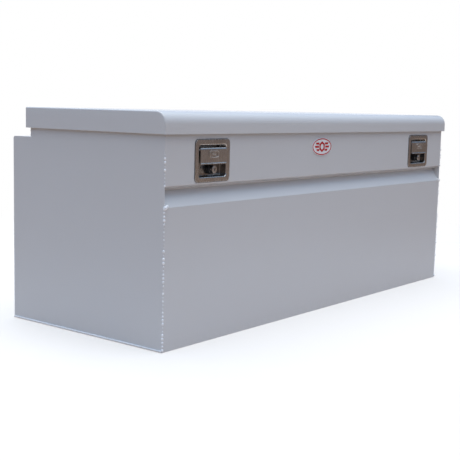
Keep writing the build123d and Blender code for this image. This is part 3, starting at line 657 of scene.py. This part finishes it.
def beadTree():
    # drops of weld metal along a path, each a little different in size
    tree = bpy.data.node_groups.new("weldBead", "GeometryNodeTree")
    face = tree.interface
    face.new_socket("Path", in_out="INPUT", socket_type="NodeSocketGeometry")
    for name, value in (("Width", 0.004), ("Height", 0.002), ("Pitch", 0.003), ("Unevenness", 0.3)):
        socket = face.new_socket(name, in_out="INPUT", socket_type="NodeSocketFloat")
        socket.default_value = value
    face.new_socket("Seed", in_out="INPUT", socket_type="NodeSocketInt")
    face.new_socket("Finish", in_out="INPUT", socket_type="NodeSocketMaterial")
    face.new_socket("Bead", in_out="OUTPUT", socket_type="NodeSocketGeometry")
    node = tree.nodes.new
    link = tree.links.new
    start = node("NodeGroupInput")
    end = node("NodeGroupOutput")
    curve = node("GeometryNodeMeshToCurve")
    link(start.outputs["Path"], curve.inputs[0])
    resample = node("GeometryNodeResampleCurve")
    resample.mode = "LENGTH"
    link(curve.outputs[0], resample.inputs["Curve"])
    link(start.outputs["Pitch"], resample.inputs["Length"])
    drop = node("GeometryNodeMeshUVSphere")
    drop.inputs["Segments"].default_value = 8
    drop.inputs["Rings"].default_value = 5
    drop.inputs["Radius"].default_value = 0.5
    size = node("ShaderNodeCombineXYZ")
    link(start.outputs["Width"], size.inputs["X"])
    link(start.outputs["Width"], size.inputs["Y"])
    link(start.outputs["Height"], size.inputs["Z"])
    smooth = node("GeometryNodeSetShadeSmooth")
    link(drop.outputs["Mesh"], smooth.inputs["Geometry"])
    place = node("GeometryNodeInstanceOnPoints")
    link(resample.outputs["Curve"], place.inputs["Points"])
    link(smooth.outputs["Geometry"], place.inputs["Instance"])
    low = node("ShaderNodeMath")
    low.operation = "SUBTRACT"
    low.inputs[0].default_value = 1.0
    link(start.outputs["Unevenness"], low.inputs[1])
    high = node("ShaderNodeMath")
    high.operation = "ADD"
    high.inputs[0].default_value = 1.0
    link(start.outputs["Unevenness"], high.inputs[1])
    chance = node("FunctionNodeRandomValue")
    chance.data_type = "FLOAT"
    link(low.outputs[0], chance.inputs[2])
    link(high.outputs[0], chance.inputs[3])
    link(start.outputs["Seed"], chance.inputs["Seed"])
    scaled = node("ShaderNodeVectorMath")
    scaled.operation = "SCALE"
    link(size.outputs[0], scaled.inputs[0])
    link(chance.outputs[1], scaled.inputs["Scale"])
    link(scaled.outputs[0], place.inputs["Scale"])
    real = node("GeometryNodeRealizeInstances")
    link(place.outputs[0], real.inputs[0])
    finish = node("GeometryNodeSetMaterial")
    link(real.outputs[0], finish.inputs["Geometry"])
    link(start.outputs["Finish"], finish.inputs["Material"])
    link(finish.outputs[0], end.inputs[0])
    return tree


weldTree = beadTree()


def setInputs(modifier, tree, values):
    for item in tree.interface.items_tree:
        if item.in_out == "INPUT" and item.name in values:
            modifier[item.identifier] = values[item.name]


def bead(name, lines, finish):
    # lines is a list of point lists; the drops follow each of them
    points, edges = [], []
    for line in lines:
        first = len(points)
        points += line
        edges += [(first + i, first + i + 1) for i in range(len(line) - 1)]
    piece = addMesh(name, points, [], None, edges)
    modifier = piece.modifiers.new("bead", "NODES")
    modifier.node_group = weldTree
    setInputs(modifier, weldTree, {**weldBeads[name], "Finish": finish})
    freeze(piece)
    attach(piece, "root")


leftLow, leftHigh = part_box("left_end_panel")
bodyX = -leftLow.x
frontY, rearY = leftLow.y, leftHigh.y

# heights on the body's walls, and how far each bead lies inside a corner
walls = {
    "bandBottom": 0.423,
    "beadTop": 0.502,
    "grooveBack": 0.4125,
    "grooveBottom": 0.3695,
    "grooveDepth": 0.028,
    "shelfTop": 0.527,
    "rimBottom": 0.55,
    "shelfDepth": 0.0762,
    "frontInset": 0.0004,
    "frontProud": 0.0002,
    "frontFoot": 0.0066,
    "rearInset": 0.0008,
    "rearSunk": 0.0018,
    "rearFoot": 0.005,
    "floorProud": 0.0008,
    "floorRise": 0.0034,
    "floorEnds": 0.004,
    "grooveInset": 0.0022,
    "blobInset": 0.003,
    "blobProud": 0.0006,
    "wander": 0.0004,
    "uprightSteps": 40,
    "floorSteps": 30,
}


def upright(x, y, z0, z1, seed):
    # a hand-laid bead wanders a little as it climbs
    steps = walls["uprightSteps"]
    points = []
    for i in range(steps + 1):
        shift = walls["wander"] * math.sin(i * 1.7 + seed) * math.cos(i * 0.63 + 2 * seed)
        points.append((x + shift, y, z0 + (z1 - z0) * i / steps))
    return points


cornerLines = []
for sign in (-1, 1):
    x = sign * (bodyX - walls["frontInset"])
    y = frontY - walls["frontProud"]
    cornerLines.append(upright(x, y, walls["frontFoot"], walls["grooveBottom"] - 0.002, sign))
    cornerLines.append(upright(x, y, walls["bandBottom"] + 0.002, walls["beadTop"], sign + 5))
bead("frontCornerWelds", cornerLines, weldHighlightPaint)

rearLines = []
for sign in (-1, 1):
    x = sign * (bodyX - walls["rearInset"])
    upperY = rearY - walls["shelfDepth"] - 0.0002
    lowerY = rearY - walls["rearSunk"]
    rearLines.append(upright(x, lowerY, walls["rearFoot"], walls["shelfTop"] - 0.008, sign + 2))
    rearLines.append(upright(x, upperY, walls["shelfTop"] + 0.003, walls["rimBottom"], sign + 3))
bead("rearCornerWelds", rearLines, whitePaint)

floorLines = []
for sign in (-1, 1):
    x = sign * (bodyX + walls["floorProud"])
    start, steps = frontY + walls["floorEnds"], walls["floorSteps"]
    length = rearY - frontY - 2 * walls["floorEnds"]
    floorLines.append([(x, start + length * i / steps, walls["floorRise"]) for i in range(steps + 1)])
bead("floorEdgeWelds", floorLines, weldHighlightPaint)

grooveLines = []
for sign in (-1, 1):
    x = sign * (bodyX - walls["grooveInset"])
    back = (x, frontY + walls["grooveDepth"] - 0.0005, walls["grooveBack"])
    grooveLines.append([(x, frontY + 0.001, walls["grooveBottom"] + 0.0015), back])
    grooveLines.append([(x, frontY + 0.002, walls["bandBottom"] - 0.002), back])
bead("grooveEndWelds", grooveLines, whitePaint)

blobLines = []
for sign in (-1, 1):
    x, y, z = sign * (bodyX - walls["blobInset"]), frontY - walls["blobProud"], walls["grooveBottom"]
    blobLines.append([
        (x + sign * 0.002, y, z - 0.003),
        (x - sign * 0.001, y, z + 0.001),
        (x - sign * 0.007, y + 0.0015, z + 0.003),
    ])
bead("grooveCornerBlobs", blobLines, weldHighlightPaint)
print("welds made")


badgeSizes = {
    "rimInset": 0.0016,
    "rimWidth": 0.0030,
    "proud": 0.0007,
    "sunk": 0.0004,
    "ovalSteps": 96,
    "edge": 0.00025,
    "nutRadius": 0.0165,
    "nutHole": 0.0085,
    "barLengths": (0.019, 0.022, 0.015),
    "barHeight": 0.0058,
    "barPitch": 0.0098,
    "barStart": 0.0180,
    "barSlant": 0.0035,
    "outerBarsIn": 0.002,
}
badgeLow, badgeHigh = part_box("front_badge")
badgeCentre = (badgeLow + badgeHigh) / 2


def flatRing(name, outer, inner, y0, y1, material, body):
    # a raised ring between two closed outlines in the XZ plane
    count = len(outer)
    points = []
    for y in (y0, y1):
        for outline in (outer, inner):
            points += [(x, y, z) for x, z in outline]
    faces = []
    for i in range(count):
        j = (i + 1) % count
        o0, i0, o1, i1 = 0, count, 2 * count, 3 * count
        faces.append((o0 + i, o0 + j, i0 + j, i0 + i))
        faces.append((o1 + i, i1 + i, i1 + j, o1 + j))
        faces.append((o0 + i, o1 + i, o1 + j, o0 + j))
        faces.append((i0 + i, i0 + j, i1 + j, i1 + i))
    ring = addMesh(name, points, faces, material)
    outwardFaces(ring)
    shadeByAngle(ring)
    modifier = ring.modifiers.new("softEdge", "BEVEL")
    modifier.width = badgeSizes["edge"]
    modifier.segments = 2
    modifier.limit_method = "ANGLE"
    freeze(ring)
    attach(ring, body)
    return ring


def oval(width, height):
    count = badgeSizes["ovalSteps"]
    return [(badgeCentre.x + width / 2 * math.cos(2 * math.pi * i / count),
             badgeCentre.z + height / 2 * math.sin(2 * math.pi * i / count)) for i in range(count)]


def polygon(cx, cz, radius, count, turn=0.0, steps=1):
    corners = [(cx + radius * math.cos(2 * math.pi * i / count + turn),
                cz + radius * math.sin(2 * math.pi * i / count + turn)) for i in range(count)]
    line = []
    for i, (x0, z0) in enumerate(corners):
        x1, z1 = corners[(i + 1) % count]
        line += [(x0 + (x1 - x0) * k / steps, z0 + (z1 - z0) * k / steps) for k in range(steps)]
    return line


def makeBadge():
    size = badgeSizes
    width = badgeHigh.x - badgeLow.x
    height = badgeHigh.z - badgeLow.z
    face = badgeLow.y
    y0, y1 = face - size["proud"], face + size["sunk"]
    outerW, outerH = width - 2 * size["rimInset"], height - 2 * size["rimInset"]
    inner = oval(outerW - 2 * size["rimWidth"], outerH - 2 * size["rimWidth"])
    rim = flatRing("badgeRim", oval(outerW, outerH), inner, y0, y1, badgeRed, "root")
    hexagon = polygon(badgeCentre.x, badgeCentre.z, size["nutRadius"], 6, math.pi / 6, 8)
    hole = polygon(badgeCentre.x, badgeCentre.z, size["nutHole"], 48, math.pi / 6)
    nut = flatRing("badgeNut", hexagon, hole, y0, y1, badgeRed, "root")
    points, faces = [], []
    for sign in (-1, 1):
        for k, length in enumerate(size["barLengths"]):
            z = badgeCentre.z + (1 - k) * size["barPitch"]
            low, high = z - size["barHeight"] / 2, z + size["barHeight"] / 2
            start = badgeCentre.x + sign * (size["barStart"] - (size["outerBarsIn"] if k != 1 else 0.0))
            end = start + sign * length
            lean = size["barSlant"]
            first = len(points)
            for y in (y0, y1):
                points += [(start, y, low), (end - sign * lean, y, low), (end, y, high), (start, y, high)]
            faces += [tuple(first + v for v in f) for f in
                      ((0, 1, 2, 3), (7, 6, 5, 4), (0, 4, 5, 1), (1, 5, 6, 2), (2, 6, 7, 3), (3, 7, 4, 0))]
    bars = addMesh("badgeBars", points, faces, badgeRed)
    outwardFaces(bars)
    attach(bars, "root")


makeBadge()
for side in ("left", "right"):
    paddleMark(side)
print("badge and paddle marks made")


viewSetup = {
    "fromCorner": (-1.697, -1.5515, 0.6235),
    "heading": 38.324,
    "downward": 7.557,
    "roll": 1.40,
    "lens": 72.68,
    "sensor": 36.0,
}


def makeCamera():
    heading = math.radians(viewSetup["heading"])
    down = math.radians(viewSetup["downward"])
    roll = math.radians(viewSetup["roll"])
    level = Vector((math.cos(heading), math.sin(heading), 0))
    forward = math.cos(down) * level - math.sin(down) * Vector((0, 0, 1))
    right = Vector((math.sin(heading), -math.cos(heading), 0))
    up = right.cross(forward)
    rolledRight = math.cos(roll) * right + math.sin(roll) * up
    rolledUp = -math.sin(roll) * right + math.cos(roll) * up
    camera = bpy.data.objects.new("camera", bpy.data.cameras.new("camera"))
    scene.collection.objects.link(camera)
    camera.data.sensor_width = viewSetup["sensor"]
    camera.data.lens = viewSetup["lens"]
    corner = Vector((-bodyX, frontY, 0))
    turn = Matrix((rolledRight, rolledUp, -forward)).transposed().to_4x4()
    camera.matrix_world = Matrix.Translation(corner + Vector(viewSetup["fromCorner"])) @ turn
    camera.data.clip_end = 100
    scene.camera = camera


floorSetup = {
    "colour": (0.92, 0.88, 0.85),
    "shade": 0.985,
    "pattern": (3.0, 2.0),
    "roughness": 0.75,
    "opacity": 0.5,
    "fadeStart": 0.9,
    "reach": 2.6,
    "fadeEnd": 0.96,  # share of the reach
    "sides": 64,
    "gap": 0.0005,
}


def makeFloor():
    # half opaque under the chest, fading out to the white surround
    reach, sides = floorSetup["reach"], floorSetup["sides"]
    material, tree, shader, place = newMaterial("paleFloor")
    base = floorSetup["colour"]
    darker = tuple(c * floorSetup["shade"] for c in base)
    pattern = noise(tree, place, *floorSetup["pattern"])
    tree.links.new(mixColour(tree, pattern, base, darker), shader.inputs["Base Color"])
    shader.inputs["Roughness"].default_value = floorSetup["roughness"]
    away = tree.nodes.new("ShaderNodeVectorMath")
    away.operation = "LENGTH"
    tree.links.new(place, away.inputs[0])
    fade = (floorSetup["fadeStart"], reach * floorSetup["fadeEnd"])
    near = spread(tree, away.outputs["Value"], floorSetup["opacity"], 0.0, *fade)
    clear = tree.nodes.new("ShaderNodeBsdfTransparent")
    mix = tree.nodes.new("ShaderNodeMixShader")
    output = next(n for n in tree.nodes if n.type == "OUTPUT_MATERIAL")
    tree.links.new(near, mix.inputs[0])
    tree.links.new(clear.outputs[0], mix.inputs[1])
    tree.links.new(shader.outputs[0], mix.inputs[2])
    tree.links.new(mix.outputs[0], output.inputs[0])
    corners = []
    for i in range(sides):
        angle = 2 * math.pi * i / sides
        corners.append((reach * math.cos(angle), reach * math.sin(angle), -floorSetup["gap"]))
    floor = addMesh("floor", corners, [tuple(range(sides))], material)


# the sky runs from straight down at 0 to straight up at 1
lightSetup = {
    "sky": (
        (0.00, (0.47, 0.365, 0.29)),
        (0.30, (0.56, 0.395, 0.285)),
        (0.42, (0.42, 0.30, 0.225)),
        (0.485, (0.15, 0.12, 0.105)),
        (0.51, (0.13, 0.13, 0.147)),
        (0.56, (0.125, 0.15, 0.205)),
        (0.66, (0.165, 0.25, 0.40)),
        (0.80, (0.525, 0.73, 1.03)),
        (1.00, (1.92, 1.98, 2.08)),
    ),
    "skyStrength": 1.0,
}

# each soft light: where it is, what it points at, its size, power and colour
softLights = {
    "overhead": ((-0.2, 0.0, 3.4), (0, 0, 0.3), (4.5, 1.1), 46.0, (0.93, 0.96, 1.0)),
    "leftFill": ((-4.2, 0.5, 2.2), (-0.7, 0, 0.5), (3.0, 2.0), 11.0, (0.30, 0.63, 1.0)),
    "backFill": ((3.4, 4.3, 1.5), (0, 0, 0.6), (6.5, 1.9), 27.0, (0.96, 0.97, 1.0)),
}


def makeWorld():
    # lights the chest with the sky, and looks white behind it
    world = bpy.data.worlds.new("studio")
    scene.world = world
    world.use_nodes = True
    tree = world.node_tree
    tree.nodes.clear()
    output = tree.nodes.new("ShaderNodeOutputWorld")
    soft = tree.nodes.new("ShaderNodeBackground")
    white = tree.nodes.new("ShaderNodeBackground")
    place = tree.nodes.new("ShaderNodeTexCoord")
    split = tree.nodes.new("ShaderNodeSeparateXYZ")
    tree.links.new(place.outputs["Generated"], split.inputs[0])
    rise = spread(tree, split.outputs["Z"], 0.0, 1.0, -1.0, 1.0)
    ramp = tree.nodes.new("ShaderNodeValToRGB")
    stops = ramp.color_ramp.elements
    for i, (position, colour) in enumerate(lightSetup["sky"]):
        stop = stops[i] if i < 2 else stops.new(position)
        stop.position = position
        stop.color = (*colour, 1.0)
    tree.links.new(rise, ramp.inputs[0])
    tree.links.new(ramp.outputs[0], soft.inputs["Color"])
    soft.inputs["Strength"].default_value = lightSetup["skyStrength"]
    white.inputs["Color"].default_value = (1, 1, 1, 1)
    seen = tree.nodes.new("ShaderNodeLightPath")
    mix = tree.nodes.new("ShaderNodeMixShader")
    tree.links.new(seen.outputs["Is Camera Ray"], mix.inputs[0])
    tree.links.new(soft.outputs[0], mix.inputs[1])
    tree.links.new(white.outputs[0], mix.inputs[2])
    tree.links.new(mix.outputs[0], output.inputs[0])


def areaLight(name, position, target, size, power, colour):
    light = bpy.data.lights.new(name, "AREA")
    light.shape = "RECTANGLE"
    light.size, light.size_y = size
    light.energy = power
    light.color = colour
    piece = bpy.data.objects.new(name, light)
    scene.collection.objects.link(piece)
    aim = Vector(target) - Vector(position)
    piece.rotation_euler = aim.to_track_quat("-Z", "Y").to_euler()
    piece.location = position
    piece.visible_camera = False


makeCamera()
makeFloor()
makeWorld()
for name, values in softLights.items():
    areaLight(name, *values)
scene.view_settings.view_transform = "Standard"
print("camera, floor and light made")
